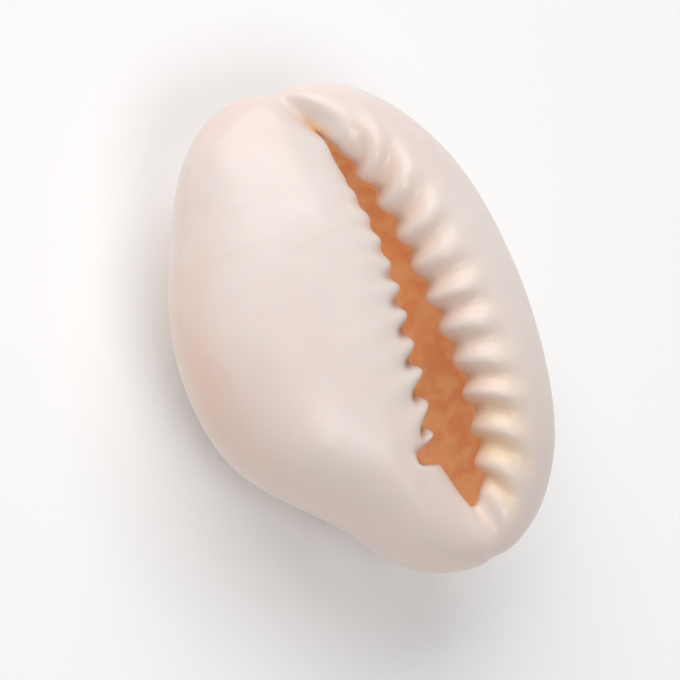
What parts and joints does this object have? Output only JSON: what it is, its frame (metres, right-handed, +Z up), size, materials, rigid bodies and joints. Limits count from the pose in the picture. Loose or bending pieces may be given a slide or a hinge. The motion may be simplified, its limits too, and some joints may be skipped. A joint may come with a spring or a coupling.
{
  "type": "cowrie shell",
  "caption": "Ring cowrie shell bead lying on its back: a glossy egg-shaped shell with a toothed slit along its base and a drilled string hole in its back.",
  "frame": {"origin": "under the middle of the shell's outline, at the level of the small flat it rests on", "axes": "+Z up out of the slit, +Y along the shell to the spire end, +X towards the outer lip"},
  "size_m": [0.0142, 0.0202, 0.0097],
  "materials": {
    "shell_enamel": "satin to glossy natural enamel, pinkish cream, orange brown inside"
  },
  "bodies": {
    "root": {"shell": "shell_enamel"}
  },
  "joints": []
}
